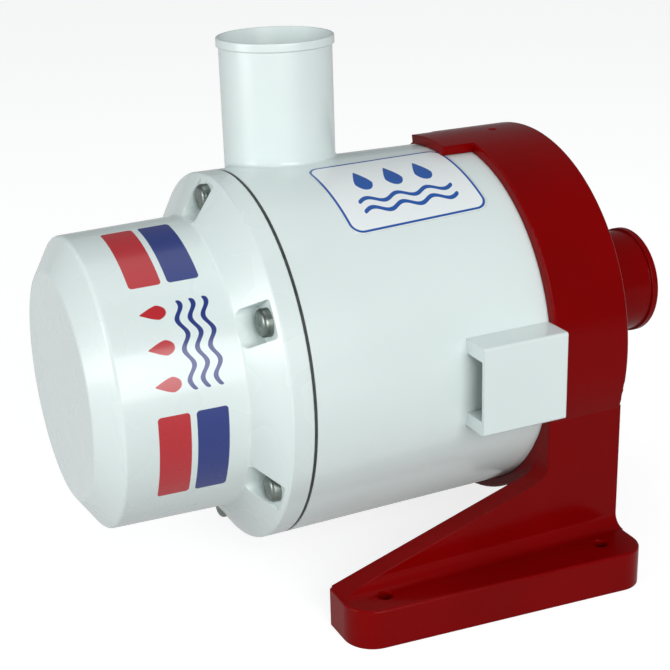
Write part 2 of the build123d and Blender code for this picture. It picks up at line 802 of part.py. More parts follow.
mid_plane = Plane.XY.offset(axis_height)
brush_x = gasket_x + brush_station
with BuildPart() as brush_holders:
    with BuildSketch(mid_plane.offset(holder_start_r)):
        with Locations((brush_x, 0)):
            Rectangle(brush_axial + 2 * holder_gap + 2 * holder_wall, brush_width + 2 * holder_gap + 2 * holder_wall)
    extrude(amount=holder_end_r - holder_start_r)
    with BuildSketch(mid_plane.offset(holder_start_r - 1)):
        with Locations((brush_x, 0)):
            Rectangle(brush_axial + 2 * holder_gap, brush_width + 2 * holder_gap)
    extrude(amount=holder_end_r - holder_start_r + 1 - holder_wall, mode=Mode.SUBTRACT)
    mirror(about=mid_plane)
save(brush_holders.part, "brush_holders")

for name, up in (("upper_brush", 1), ("lower_brush", -1)):
    with BuildPart() as brush:
        with BuildSketch(mid_plane.offset(up * (commutator_r - 1))):
            with Locations((brush_x, 0)):
                Rectangle(brush_axial, brush_width)
        extrude(amount=up * (brush_tail_r - commutator_r + 1))
        revolve(tube(brush_station - 4, brush_station + 4, 0, brush_tip_r), axis=pump_axis, mode=Mode.SUBTRACT)
    save(brush.part, name)

spring_start_r = brush_tail_r + spring_wire_r + 0.05
spring_height = holder_end_r - holder_wall - spring_wire_r - 0.05 - spring_start_r
for name, up in (("upper_brush_spring", 1), ("lower_brush_spring", -1)):
    with BuildPart() as brush_spring:
        foot = (brush_x, 0, axis_height + up * spring_start_r)
        with BuildLine() as coil:
            Helix(spring_height / spring_turns, spring_height, spring_coil_r, center=foot, direction=(0, 0, up))
        with BuildSketch(Plane(origin=coil.line @ 0, z_dir=coil.line % 0)):
            Circle(spring_wire_r)
        sweep(path=coil.line, is_frenet=True)
    save(brush_spring.part, name)

capacitor_size = (3.8, 12.0, 8.0)
with BuildPart() as suppression_capacitor:
    with BuildSketch(across(bell_front - 0.05)):
        with Locations((0, 24)):
            RectangleRounded(capacitor_size[1], capacitor_size[2], 1.5)
    extrude(amount=-capacitor_size[0])
save(suppression_capacitor.part, "suppression_capacitor")

lead_r = 0.9
lead_spacing = 1.15
lead_inner_r = 30.0
lead_outer_r = 43.9
lead_front = -53.4
with BuildPart() as motor_leads:
    for shift in (-lead_spacing, lead_spacing):
        lead_plane = Plane(
            origin=(gasket_x, 0, axis_height),
            x_dir=(1, 0, 0),
            z_dir=(0, gland_outward[2], -gland_outward[1]),
        ).offset(shift)
        turn = 1 if lead_plane.y_dir.dot(Vector(*gland_outward)) > 0 else -1
        with BuildLine(lead_plane) as route:
            FilletPolyline(
                (bell_front - 0.05, turn * lead_inner_r),
                (lead_front, turn * lead_inner_r),
                (lead_front, turn * lead_outer_r),
                (gland_station, turn * lead_outer_r),
                (gland_station, turn * (cover_edge_r - 0.4)),
                radius=1.7,
            )
        with BuildSketch(Plane(origin=route.line @ 0, z_dir=route.line % 0)):
            Circle(lead_r)
        sweep(path=route.line)
save(motor_leads.part, "motor_leads")

# ---------------------------------------------------------------- rotor
shaft_front = -57.4
shaft_shoulder = 101.0
shaft_end = 108.0
thread_r = 3.0
core_start = -25.0
core_end = 35.0
core_r = 30.6
slot_count = 12
slot_inner_r = 13.5
slot_outer_r = 26.5
slot_inner_width = 3.6
slot_outer_width = 9.2
slot_mouth = 2.4
winding_clearance = 0.35
end_turn_length = 10.6

with BuildPart() as motor_shaft:
    outline = [
        (shaft_front, 0),
        (shaft_front, shaft_r),
        (shaft_shoulder, shaft_r),
        (shaft_shoulder, thread_r),
        (shaft_end, thread_r),
        (shaft_end, 0),
    ]
    revolve(turned(outline, rounding=[0, 0.5, 0, 0, 0.5, 0]), axis=pump_axis)
save(motor_shaft.part, "motor_shaft")


def slot_shape(inset, with_mouth):
    """One armature slot, drawn pointing along local +x."""
    with BuildSketch() as slot:
        with BuildLine():
            Polyline(
                (slot_inner_r + inset, -slot_inner_width / 2 + inset),
                (slot_outer_r - inset, -slot_outer_width / 2 + inset),
                (slot_outer_r - inset, slot_outer_width / 2 - inset),
                (slot_inner_r + inset, slot_inner_width / 2 - inset),
                close=True,
            )
        make_face()
        if with_mouth:
            with Locations(((slot_outer_r + core_r) / 2, 0)):
                Rectangle(core_r - slot_outer_r + 2, slot_mouth)
    return slot.sketch


with BuildPart() as armature_core:
    with BuildSketch(across(core_start)):
        Circle(core_r)
        Circle(shaft_r + 0.01, mode=Mode.SUBTRACT)
        with PolarLocations(0, slot_count):
            add(slot_shape(0, True), mode=Mode.SUBTRACT)
    extrude(amount=core_end - core_start)
save(armature_core.part, "armature_core")

with BuildPart() as armature_windings:
    with BuildSketch(across(core_start - 1)):
        with PolarLocations(0, slot_count):
            add(slot_shape(winding_clearance, False))
    extrude(amount=core_end - core_start + 2)
    for start, end in (
        (core_start - 0.4 - end_turn_length, core_start - 0.4),
        (core_end + 0.4, core_end + 0.4 + end_turn_length),
    ):
        end_turn = [
            (start, slot_inner_r - 0.7),
            (end, slot_inner_r - 0.7),
            (end, slot_outer_r),
            (start, slot_outer_r),
        ]
        revolve(turned(end_turn, rounding=3.0), axis=pump_axis)
save(armature_windings.part, "armature_windings")

hub_r = 8.2
bar_gap = 0.6
commutator_start = -43.2
commutator_end = -30.0
with BuildPart() as commutator_hub:
    revolve(tube(commutator_start - 0.2, commutator_end + 1, shaft_r + 0.01, hub_r), axis=pump_axis)
save(commutator_hub.part, "commutator_hub")

with BuildPart() as commutator_bars:
    with BuildSketch(across(commutator_start)):
        Circle(commutator_r)
        Circle(hub_r, mode=Mode.SUBTRACT)
        with PolarLocations((commutator_r + hub_r) / 2, slot_count, start_angle=180 / slot_count):
            Rectangle(commutator_r, bar_gap, mode=Mode.SUBTRACT)
    extrude(amount=commutator_end - commutator_start)
save(commutator_bars.part, "commutator_bars")

with BuildPart() as water_slinger:
    revolve(tube(rear_boss_end + 0.8, seal_boss_start - 0.8, shaft_r + 0.01, 9.0), axis=pump_axis)
save(water_slinger.part, "water_slinger")

# ---------------------------------------------------------------- ball bearings
ball_pitch_r = 7.5
ball_r = 1.98
ball_count = 7
groove_r = ball_r + running_gap
inner_race_r = 5.8
outer_race_bore = 9.2
cage_half_width = 2.7
for prefix, start in (("front_bearing", front_bearing_station), ("rear_bearing", rear_bearing_station)):
    middle = start + bearing_width / 2
    with BuildPart() as outer_race:
        revolve(tube(start, start + bearing_width, outer_race_bore, bearing_r), axis=pump_axis)
        with BuildSketch(meridian):
            with Locations((middle, ball_pitch_r)):
                Circle(groove_r)
        revolve(axis=pump_axis, mode=Mode.SUBTRACT)
    save(outer_race.part, prefix + "_outer")
    with BuildPart() as inner_race:
        revolve(tube(start, start + bearing_width, shaft_r + 0.01, inner_race_r), axis=pump_axis)
        with BuildSketch(meridian):
            with Locations((middle, ball_pitch_r)):
                Circle(groove_r)
        revolve(axis=pump_axis, mode=Mode.SUBTRACT)
    save(inner_race.part, prefix + "_inner")
    with BuildPart() as balls:
        with Locations(across(middle)):
            with PolarLocations(ball_pitch_r, ball_count):
                Sphere(ball_r)
    save(balls.part, prefix + "_balls")
    with BuildPart() as cage:
        cage_ring = tube(middle - cage_half_width, middle + cage_half_width, ball_pitch_r - 0.6, ball_pitch_r + 0.6)
        revolve(cage_ring, axis=pump_axis)
        with Locations(across(middle)):
            with PolarLocations(ball_pitch_r, ball_count):
                Cylinder(ball_r + running_gap, 4, rotation=(0, 90, 0), mode=Mode.SUBTRACT)
    save(cage.part, prefix + "_cage")

# ---------------------------------------------------------------- impeller and its fastening
impeller_r = 34.0
impeller_hub_r = 8.5
impeller_front = 89.0
shroud_front = 90.0
shroud_rear = 92.0
impeller_vane_end = 102.0
impeller_vane_count = 6
impeller_vane_thickness = 2.2
impeller_sweep = 58.0

with BuildPart() as impeller:
    body = [
        (impeller_front, shaft_r + 0.01),
        (impeller_front, impeller_hub_r),
        (shroud_front, impeller_hub_r + 1),
        (shroud_front, impeller_r),
        (shroud_rear, impeller_r),
        (shroud_rear, impeller_hub_r + 3),
        (shaft_shoulder, impeller_hub_r - 1),
        (shaft_shoulder, shaft_r + 0.01),
    ]
    revolve(turned(body), axis=pump_axis)
    inner = impeller_hub_r
    sweep_mid = radians(impeller_sweep * 0.38)
    sweep_end = radians(impeller_sweep)
    with BuildSketch(across(shroud_rear - 0.5)):
        with PolarLocations(0, impeller_vane_count):
            with BuildLine():
                ThreePointArc(
                    (inner, 0),
                    (0.62 * impeller_r * cos(sweep_mid), 0.62 * impeller_r * sin(sweep_mid)),
                    ((impeller_r - 1) * cos(sweep_end), (impeller_r - 1) * sin(sweep_end)),
                )
            trace(line_width=impeller_vane_thickness)
    extrude(amount=impeller_vane_end - shroud_rear + 0.5)
    shroud_limit = tube(impeller_front, impeller_vane_end, shaft_r + 0.01, impeller_r)
    revolve(shroud_limit, axis=pump_axis, mode=Mode.INTERSECT)
save(impeller.part, "impeller")

washer_thickness = 1.2
with BuildPart() as impeller_washer:
    revolve(tube(shaft_shoulder, shaft_shoulder + washer_thickness, thread_r + 0.1, 6.4), axis=pump_axis)
save(impeller_washer.part, "impeller_washer")

nut_across_flats = 10.0
nut_height = 5.0
with BuildPart() as impeller_nut:
    with BuildSketch(across(shaft_shoulder + washer_thickness)):
        RegularPolygon(nut_across_flats / 2, 6, major_radius=False)
        Circle(thread_r + 0.01, mode=Mode.SUBTRACT)
    extrude(amount=nut_height)
save(impeller_nut.part, "impeller_nut")
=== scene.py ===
import math

import bmesh
import bpy
from mathutils import Matrix, Vector


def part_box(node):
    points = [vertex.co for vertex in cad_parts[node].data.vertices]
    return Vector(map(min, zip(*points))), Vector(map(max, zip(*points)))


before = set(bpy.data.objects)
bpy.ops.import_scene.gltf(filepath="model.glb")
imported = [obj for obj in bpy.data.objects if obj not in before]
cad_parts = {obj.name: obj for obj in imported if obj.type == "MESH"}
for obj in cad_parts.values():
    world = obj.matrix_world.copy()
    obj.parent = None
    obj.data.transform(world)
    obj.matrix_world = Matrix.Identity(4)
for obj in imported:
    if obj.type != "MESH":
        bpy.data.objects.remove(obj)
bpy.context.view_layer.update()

# ---------------------------------------------------------------- end cover
# The closed end cover is one glossy white moulding over the motor, with a chamfered face and a flared rim.
# It is held by six screws, and its side carries two pairs of printed bands around a plain water sign.
PUMP_AXIS_HEIGHT = 0.080
GASKET_HALF = 0.0005
GASKET_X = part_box("cover_gasket")[0].x + GASKET_HALF
WHITE = (0.71, 0.80, 0.785, 1.0)
WHITE_SHADE = (0.675, 0.77, 0.755, 1.0)
PRINT_RED = (0.46, 0.012, 0.02, 1.0)
PRINT_BLUE = (0.012, 0.03, 0.19, 1.0)
PRINT_RADIUS = 0.0496
BARREL_RADIUS = (0.0485, 0.0488)
BAND_MIDDLES = (19.0, 103.5)
BAND_HALF_ANGLE = 18.0
BAND_HALF_WIDTH = 0.0052
BAND_CORNER = 0.0012
RED_BAND_STATION = -0.0411
BLUE_BAND_STATION = -0.0287
SIGN_ANGLE = 61.2
WAVE_COUNT = 3
WAVE_FIRST = -0.0335
WAVE_STEP = 0.0042
WAVE_LENGTH = 0.0095
WAVE_SWING = 0.0011
WAVE_HALF_SIZE = (0.0008, 0.0143)
DROP_STATION = -0.0415
DROP_STEP_ANGLE = 13.2
DROP_TIP = (-0.0050, 0.12)
DROP_SHOULDER = 0.0016
DROP_HALF = 0.0026
DROP_SQUASH = 0.62
ROUND_END = 0.0001
INK_EDGE = 0.00012
DRIFT_CELLS = 22.0
SCUFF_CELLS = 60.0
SINK_CELLS = 16.0
SINK_HEIGHT = 0.00012
GRAIN_CELLS = 260.0
GRAIN_HEIGHT = 0.0000018
SOFT_EDGE_RADIUS = 0.0006


def sums(tree, operation, *values, clamp=False):
    """Does one sum on sockets or plain numbers and gives its output socket."""
    node = tree.nodes.new("ShaderNodeMath")
    node.operation = operation
    node.use_clamp = clamp
    for socket, value in zip(node.inputs, values):
        if isinstance(value, bpy.types.NodeSocket):
            tree.links.new(value, socket)
        else:
            socket.default_value = value
    return node.outputs[0]


def noise(tree, place, scale, detail=3.0, roughness=0.5):
    """Soft noise at a scale given in cells per metre, from 0 to 1."""
    node = tree.nodes.new("ShaderNodeTexNoise")
    node.inputs["Scale"].default_value = scale
    node.inputs["Detail"].default_value = detail
    node.inputs["Roughness"].default_value = roughness
    tree.links.new(place, node.inputs["Vector"])
    return node.outputs["Fac"]


def spread(tree, value, low, high, to_low=0.0, to_high=1.0, smooth=True):
    """Carries a value from one range into another, held at the ends."""
    node = tree.nodes.new("ShaderNodeMapRange")
    node.interpolation_type = "SMOOTHSTEP" if smooth else "LINEAR"
    tree.links.new(value, node.inputs["Value"])
    node.inputs["From Min"].default_value = low
    node.inputs["From Max"].default_value = high
    node.inputs["To Min"].default_value = to_low
    node.inputs["To Max"].default_value = to_high
    return node.outputs["Result"]


def blend_colour(tree, amount, first, second):
    """Mixes two colours by a mask; each is a socket or four numbers."""
    node = tree.nodes.new("ShaderNodeMix")
    node.data_type = "RGBA"
    tree.links.new(amount, node.inputs["Factor"])
    for socket, value in ((node.inputs["A"], first), (node.inputs["B"], second)):
        if isinstance(value, bpy.types.NodeSocket):
            tree.links.new(value, socket)
        else:
            socket.default_value = value
    return node.outputs["Result"]


def effect(name, inputs, outputs):
    """An empty shader group with named sockets: its tree, its input node and its output node."""
    tree = bpy.data.node_groups.new(name, "ShaderNodeTree")
    for label, kind, value in inputs:
        socket = tree.interface.new_socket(label, in_out="INPUT", socket_type=kind)
        socket.default_value = value
    for label, kind in outputs:
        tree.interface.new_socket(label, in_out="OUTPUT", socket_type=kind)
    return tree, tree.nodes.new("NodeGroupInput"), tree.nodes.new("NodeGroupOutput")


def moulded_surface():
    """Moulded plastic: slow tone drift, gloss drift, and a fine skin over faint sink waves."""
    tree, given, wanted = effect(
        "moulded_surface",
        [
            ("Tone", "NodeSocketColor", (0.8, 0.8, 0.8, 1.0)),
            ("Shade", "NodeSocketColor", (0.7, 0.7, 0.7, 1.0)),
            ("Gloss", "NodeSocketFloat", 0.25),
            ("Skin", "NodeSocketFloat", 0.5),
            ("Edge", "NodeSocketVector", (0.0, 0.0, 0.0)),
        ],
        [("Color", "NodeSocketColor"), ("Roughness", "NodeSocketFloat"), ("Normal", "NodeSocketVector")],
    )
    place = tree.nodes.new("ShaderNodeTexCoord").outputs["Object"]
    drift = spread(tree, noise(tree, place, DRIFT_CELLS, 2.0), 0.3, 0.7)
    shade = sums(tree, "MULTIPLY", drift, 0.7)
    tree.links.new(
        blend_colour(tree, shade, given.outputs["Tone"], given.outputs["Shade"]), wanted.inputs["Color"]
    )
    scuff = spread(tree, noise(tree, place, SCUFF_CELLS, 1.0), 0.3, 0.75, -0.01, 0.03)
    tree.links.new(sums(tree, "ADD", given.outputs["Gloss"], scuff), wanted.inputs["Roughness"])
    waves = sums(tree, "MULTIPLY", noise(tree, place, SINK_CELLS, 0.0), SINK_HEIGHT)
    grain = sums(tree, "MULTIPLY", noise(tree, place, GRAIN_CELLS, 0.0), GRAIN_HEIGHT)
    height = sums(tree, "ADD", waves, sums(tree, "MULTIPLY", grain, given.outputs["Skin"]))
    bump = tree.nodes.new("ShaderNodeBump")
    bump.inputs["Strength"].default_value = 0.6
    bump.inputs["Distance"].default_value = 1.0
    tree.links.new(height, bump.inputs["Height"])
    tree.links.new(given.outputs["Edge"], bump.inputs["Normal"])
    tree.links.new(bump.outputs["Normal"], wanted.inputs["Normal"])
    return tree


MOULDED = moulded_surface()


def length_of(tree, across, along):
    """Length of a flat vector from its two parts."""
    squares = [sums(tree, "MULTIPLY", value, value) for value in (across, along)]
    return sums(tree, "SQRT", sums(tree, "ADD", *squares))


def around_axis(tree):
    """Place along the pump from the gasket, angle from the top towards the label side, and distance out."""
    place = tree.nodes.new("ShaderNodeTexCoord").outputs["Object"]
    split = tree.nodes.new("ShaderNodeSeparateXYZ")
    tree.links.new(place, split.inputs[0])
    station = sums(tree, "SUBTRACT", split.outputs["X"], GASKET_X)
    rise = sums(tree, "SUBTRACT", split.outputs["Z"], PUMP_AXIS_HEIGHT)
    angle = sums(tree, "ARCTAN2", sums(tree, "MULTIPLY", split.outputs["Y"], -1.0), rise)
    return station, angle, length_of(tree, split.outputs["Y"], rise)


def panel(tree, across, along, centre, half, corner):
    """Signed distance to a rounded rectangle, negative inside; all in metres."""
    reach = []
    for value, middle, size in zip((across, along), centre, half):
        offset = sums(tree, "ABSOLUTE", sums(tree, "SUBTRACT", value, middle))
        reach.append(sums(tree, "SUBTRACT", offset, size - corner))
    outside = [sums(tree, "MAXIMUM", value, 0.0) for value in reach]
    length = length_of(tree, *outside)
    inside = sums(tree, "MINIMUM", sums(tree, "MAXIMUM", *reach), 0.0)
    return sums(tree, "SUBTRACT", sums(tree, "ADD", length, inside), corner)


def rippled(tree, value, along, length, swing):
    """A distance bent into ripples of one length and swing that run along the other direction."""
    ripple = sums(tree, "SINE", sums(tree, "MULTIPLY", along, 2 * math.pi / length))
    return sums(tree, "SUBTRACT", value, sums(tree, "MULTIPLY", ripple, swing))


def water_drop(tree, rise, aside, tip, shoulder, half):
    """Signed distance to a drop, round at the shoulder; its tip is given as a place and a width."""
    taper = spread(tree, rise, tip[0], shoulder, tip[1], 1.0, smooth=False)
    length = sums(tree, "MULTIPLY", rise, DROP_SQUASH)
    width = sums(tree, "DIVIDE", aside, taper)
    return panel(tree, length, width, (0.0, 0.0), (half, half), half - ROUND_END)


def printed_mask(tree, shapes):
    """One mask of all the shapes printed in a colour, from their signed distances."""
    mask = None
    for shape in shapes:
        ink = spread(tree, shape, -INK_EDGE, INK_EDGE, 1.0, 0.0)
        mask = ink if mask is None else sums(tree, "MAXIMUM", mask, ink)
    return mask


def plastic(name, tone, shade, gloss, skin, coat):
    """A moulded plastic material: its tree, its shader and its surface group."""
    material = bpy.data.materials.new(name)
    material.use_nodes = True
    tree = material.node_tree
    shader = tree.nodes["Principled BSDF"]
    surface = tree.nodes.new("ShaderNodeGroup")
    surface.node_tree = MOULDED
    surface.inputs["Tone"].default_value = tone
    surface.inputs["Shade"].default_value = shade
    surface.inputs["Gloss"].default_value = gloss
    surface.inputs["Skin"].default_value = skin
    softened = tree.nodes.new("ShaderNodeBevel")
    softened.samples = 6
    softened.inputs["Radius"].default_value = SOFT_EDGE_RADIUS
    tree.links.new(softened.outputs["Normal"], surface.inputs["Edge"])
    tree.links.new(surface.outputs["Color"], shader.inputs["Base Color"])
    tree.links.new(surface.outputs["Roughness"], shader.inputs["Roughness"])
    tree.links.new(surface.outputs["Normal"], shader.inputs["Normal"])
    shader.inputs["IOR"].default_value = 1.5
    shader.inputs["Coat Weight"].default_value = coat
    shader.inputs["Coat Roughness"].default_value = 0.12
    return material, tree, shader, surface


def finish_node(name, material):
    """Gives a CAD node its material in every slot."""
    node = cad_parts[name]
    if not node.material_slots:
        node.data.materials.append(material)
    for holder in node.material_slots:
        holder.material = material


cover_white, tree, shader, surface = plastic("cover_white", WHITE, WHITE_SHADE, 0.27, 1.0, 0.25)
station, angle, radius = around_axis(tree)
arc = sums(tree, "MULTIPLY", angle, PRINT_RADIUS)
on_barrel = spread(tree, radius, *BARREL_RADIUS, 0.0, 1.0)
band_half = (BAND_HALF_WIDTH, math.radians(BAND_HALF_ANGLE) * PRINT_RADIUS)
sign_middle = math.radians(SIGN_ANGLE) * PRINT_RADIUS
red_shapes = []
blue_shapes = []
for middle_angle in BAND_MIDDLES:
    middle = math.radians(middle_angle) * PRINT_RADIUS
    red_shapes.append(panel(tree, station, arc, (RED_BAND_STATION, middle), band_half, BAND_CORNER))
    blue_shapes.append(panel(tree, station, arc, (BLUE_BAND_STATION, middle), band_half, BAND_CORNER))
for row in range(WAVE_COUNT):
    line = rippled(tree, station, arc, WAVE_LENGTH, WAVE_SWING)
    middle = (WAVE_FIRST + WAVE_STEP * row, sign_middle)
    blue_shapes.append(panel(tree, line, arc, middle, WAVE_HALF_SIZE, WAVE_HALF_SIZE[0] - ROUND_END))
for place_in_row in (-1, 0, 1):
    drop_angle = SIGN_ANGLE + DROP_STEP_ANGLE * place_in_row
    drop_arc = sums(tree, "SUBTRACT", arc, math.radians(drop_angle) * PRINT_RADIUS)
    drop_station = sums(tree, "SUBTRACT", station, DROP_STATION)
    red_shapes.append(water_drop(tree, drop_station, drop_arc, DROP_TIP, DROP_SHOULDER, DROP_HALF))
red_mask = sums(tree, "MULTIPLY", printed_mask(tree, red_shapes), on_barrel)
blue_mask = sums(tree, "MULTIPLY", printed_mask(tree, blue_shapes), on_barrel)
printed = blend_colour(tree, red_mask, surface.outputs["Color"], PRINT_RED)
printed = blend_colour(tree, blue_mask, printed, PRINT_BLUE)
tree.links.new(printed, shader.inputs["Base Color"])
finish_node("end_cover", cover_white)

# ---------------------------------------------------------------- cover gasket and seals
# A flat dark rubber gasket closes the joint between cover and casing; softer rings and lips seal the rest.
# They are die cut or moulded in black nitrile, with a dull, slightly dusty skin.
def rubber(name, tone, bloom):
    """Dull moulded rubber with a faint dusty bloom and a fine grain."""
    material = bpy.data.materials.new(name)
    material.use_nodes = True
    tree = material.node_tree
    shader = tree.nodes["Principled BSDF"]
    place = tree.nodes.new("ShaderNodeTexCoord").outputs["Object"]
    dust = spread(tree, noise(tree, place, 240.0, 4.0, 0.6), 0.4, 0.75)
    tree.links.new(blend_colour(tree, dust, tone, bloom), shader.inputs["Base Color"])
    tree.links.new(spread(tree, dust, 0.0, 1.0, 0.48, 0.7, smooth=False), shader.inputs["Roughness"])
    bump = tree.nodes.new("ShaderNodeBump")
    bump.inputs["Strength"].default_value = 0.4
    bump.inputs["Distance"].default_value = 0.00004
    tree.links.new(noise(tree, place, 2200.0, 2.0), bump.inputs["Height"])
    tree.links.new(bump.outputs["Normal"], shader.inputs["Normal"])
    shader.inputs["Specular IOR Level"].default_value = 0.35
    return material


black_rubber = rubber("black_rubber", (0.028, 0.032, 0.033, 1.0), (0.075, 0.08, 0.08, 1.0))
for name in (
    "cover_gasket",
    "rear_gasket",
    "inlet_o_ring",
    "front_mount_ring",
    "rear_mount_ring",
    "shaft_seals",
    "water_slinger",
    "wire_gland",
):
    finish_node(name, black_rubber)

# ---------------------------------------------------------------- screws and steel pieces
# The covers are held by stainless screws; the end cover's have a round head with a cross recess.
# Shaft, plates, bearings and springs are steel, with brass, copper and ferrite pieces between them.
def metal(name, tone, shade, rough, scratch_scale, grime):
    """Worn or turned metal: fine scratches, tone drift and darker grime in patches."""
    material = bpy.data.materials.new(name)
    material.use_nodes = True
    tree = material.node_tree
    shader = tree.nodes["Principled BSDF"]
    place = tree.nodes.new("ShaderNodeTexCoord").outputs["Object"]
    stretch = tree.nodes.new("ShaderNodeMapping")
    stretch.inputs["Scale"].default_value = scratch_scale
    tree.links.new(place, stretch.inputs["Vector"])
    scratches = noise(tree, stretch.outputs["Vector"], 1.0, 4.0, 0.6)
    patches = spread(tree, noise(tree, place, 320.0, 3.0), 0.42, 0.7, 0.0, grime)
    mixed = sums(tree, "ADD", sums(tree, "MULTIPLY", scratches, 0.4), patches, clamp=True)
    tree.links.new(blend_colour(tree, mixed, tone, shade), shader.inputs["Base Color"])
    wear = spread(tree, scratches, 0.3, 0.7, rough - 0.06, rough + 0.12)
    tree.links.new(wear, shader.inputs["Roughness"])
    bump = tree.nodes.new("ShaderNodeBump")
    bump.inputs["Strength"].default_value = 0.25
    bump.inputs["Distance"].default_value = 0.00003
    tree.links.new(scratches, bump.inputs["Height"])
    tree.links.new(bump.outputs["Normal"], shader.inputs["Normal"])
    shader.inputs["Metallic"].default_value = 1.0
    return material


def finish_metal(names, name, tone, shade, rough, scratch_scale, grime):
    """Makes one metal and gives it to the CAD nodes that are made of it."""
    material = metal(name, (*tone, 1.0), (*shade, 1.0), rough, scratch_scale, grime)
    for node_name in names:
        finish_node(node_name, material)


finish_metal(
    ("cover_screws", "suction_cover_screws"),
    "screw_steel", (0.24, 0.275, 0.255), (0.07, 0.085, 0.078), 0.36, (900, 900, 900), 0.5,
)
finish_metal(
    ("flux_ring", "front_end_bell", "rear_end_plate", "motor_through_bolts", "seal_retainer"),
    "plated_steel", (0.62, 0.63, 0.61), (0.36, 0.36, 0.34), 0.32, (300, 900, 900), 0.3,
)
ground_pieces = ["motor_shaft", "impeller_washer"]
for end in ("front", "rear"):
    ground_pieces += [f"{end}_bearing_{piece}" for piece in ("outer", "inner", "balls")]
finish_metal(
    ground_pieces,
    "ground_steel", (0.68, 0.68, 0.68), (0.45, 0.45, 0.45), 0.18, (4000, 200, 200), 0.15,
)
finish_metal(
    ("bearing_spring_washer", "magnet_clips", "upper_brush_spring", "lower_brush_spring"),
    "spring_steel", (0.42, 0.42, 0.41), (0.22, 0.22, 0.22), 0.3, (1500, 1500, 1500), 0.2,
)
finish_metal(
    ("armature_core",),
    "sheet_iron", (0.26, 0.26, 0.27), (0.12, 0.12, 0.12), 0.4, (6000, 300, 300), 0.4,
)
finish_metal(
    ("threaded_inserts", "brush_holders", "impeller_nut", "front_bearing_cage", "rear_bearing_cage"),
    "brass", (0.72, 0.5, 0.2), (0.4, 0.26, 0.1), 0.28, (900, 900, 900), 0.3,
)
finish_metal(
    ("commutator_bars",),
    "bar_copper", (0.78, 0.36, 0.2), (0.36, 0.17, 0.1), 0.25, (4000, 300, 300), 0.3,
)
finish_metal(
    ("armature_windings",),
    "wire_copper", (0.5, 0.17, 0.06), (0.25, 0.07, 0.03), 0.35, (500, 2600, 2600), 0.2,
)
finish_metal(
    ("field_magnets",),
    "ferrite", (0.1, 0.1, 0.105), (0.05, 0.05, 0.05), 0.55, (700, 700, 700), 0.4,
)

# ---------------------------------------------------------------- casing, suction cover and guide vanes
# The casing is one glossy white moulding, with the outlet spigot and the two loops for the bracket's arms.
# The suction cover and the guide vanes inside are moulded in the same plastic.
casing_white, *_ = plastic("casing_white", WHITE, WHITE_SHADE, 0.24, 0.8, 0.3)
for name in ("pump_casing", "suction_cover", "guide_vane_ring"):
    finish_node(name, casing_white)

# ---------------------------------------------------------------- inner mouldings
# The motor canister, the impeller and the commutator hub are dark engineering plastic, with a satin skin.
# The brush card is brown phenolic sheet; the brushes are pressed carbon.
for names, name, tone, shade, gloss, skin, coat in (
    (
        ("motor_canister", "impeller", "commutator_hub"),
        "dark_plastic", (0.03, 0.032, 0.035), (0.05, 0.052, 0.055), 0.42, 2.0, 0.0,
    ),
    (("brush_card",), "card_brown", (0.32, 0.17, 0.07), (0.22, 0.11, 0.05), 0.5, 2.5, 0.0),
    (("upper_brush", "lower_brush"), "carbon", (0.03, 0.03, 0.03), (0.055, 0.055, 0.055), 0.6, 3.0, 0.0),
    (("suppression_capacitor",), "capacitor_orange", (0.62, 0.22, 0.03), (0.5, 0.16, 0.02), 0.3, 1.0, 0.2),
    (("motor_leads",), "lead_red", (0.4, 0.015, 0.015), (0.28, 0.01, 0.01), 0.45, 1.5, 0.0),
):
    inner_finish, *_ = plastic(name, (*tone, 1.0), (*shade, 1.0), gloss, skin, coat)
    for node_name in names:
        finish_node(node_name, inner_finish)

# ---------------------------------------------------------------- casing label
# A white vinyl label with rounded corners and a blue printed border is stuck on the casing's shoulder.
# It carries a plain sign for running water: three drops over two rippled lines.
LABEL_WHITE = (0.83, 0.875, 0.875, 1.0)
LABEL_SHADE = (0.8, 0.85, 0.85, 1.0)
LABEL_BLUE = (0.008, 0.085, 0.36, 1.0)
LABEL_RADIUS = 0.0634
LABEL_STATION = 0.0499
LABEL_ANGLE = math.radians(22.0)
LABEL_TURN = math.radians(3.2)
BORDER_HALF_SIZE = (0.0252, 0.0178)
BORDER_CORNER = 0.0040
BORDER_HALF_WIDTH = 0.00045
LABEL_WAVE_COUNT = 2
LABEL_WAVE_FIRST = 0.0055
LABEL_WAVE_STEP = 0.0045
LABEL_WAVE_LENGTH = 0.0115
LABEL_WAVE_SWING = 0.0012
LABEL_WAVE_HALF_SIZE = (0.0180, 0.0009)
LABEL_DROP_PLACE = -0.0050
LABEL_DROP_STEP = 0.0115
LABEL_DROP_TIP = (-0.0068, 0.1)
LABEL_DROP_SHOULDER = 0.0020
LABEL_DROP_HALF = 0.0034

label_film, tree, shader, surface = plastic("label_film", LABEL_WHITE, LABEL_SHADE, 0.2, 0.4, 0.5)
station, angle, _ = around_axis(tree)
along = sums(tree, "SUBTRACT", station, LABEL_STATION)
down = sums(tree, "SUBTRACT", sums(tree, "MULTIPLY", angle, LABEL_RADIUS), LABEL_ANGLE * LABEL_RADIUS)
turn_cosine = math.cos(LABEL_TURN)
turn_sine = math.sin(LABEL_TURN)
across = sums(
    tree, "SUBTRACT", sums(tree, "MULTIPLY", along, turn_cosine), sums(tree, "MULTIPLY", down, turn_sine)
)
downwards = sums(
    tree, "ADD", sums(tree, "MULTIPLY", down, turn_cosine), sums(tree, "MULTIPLY", along, turn_sine)
)
edge = panel(tree, across, downwards, (0.0, 0.0), BORDER_HALF_SIZE, BORDER_CORNER)
label_shapes = [sums(tree, "SUBTRACT", sums(tree, "ABSOLUTE", edge), BORDER_HALF_WIDTH)]
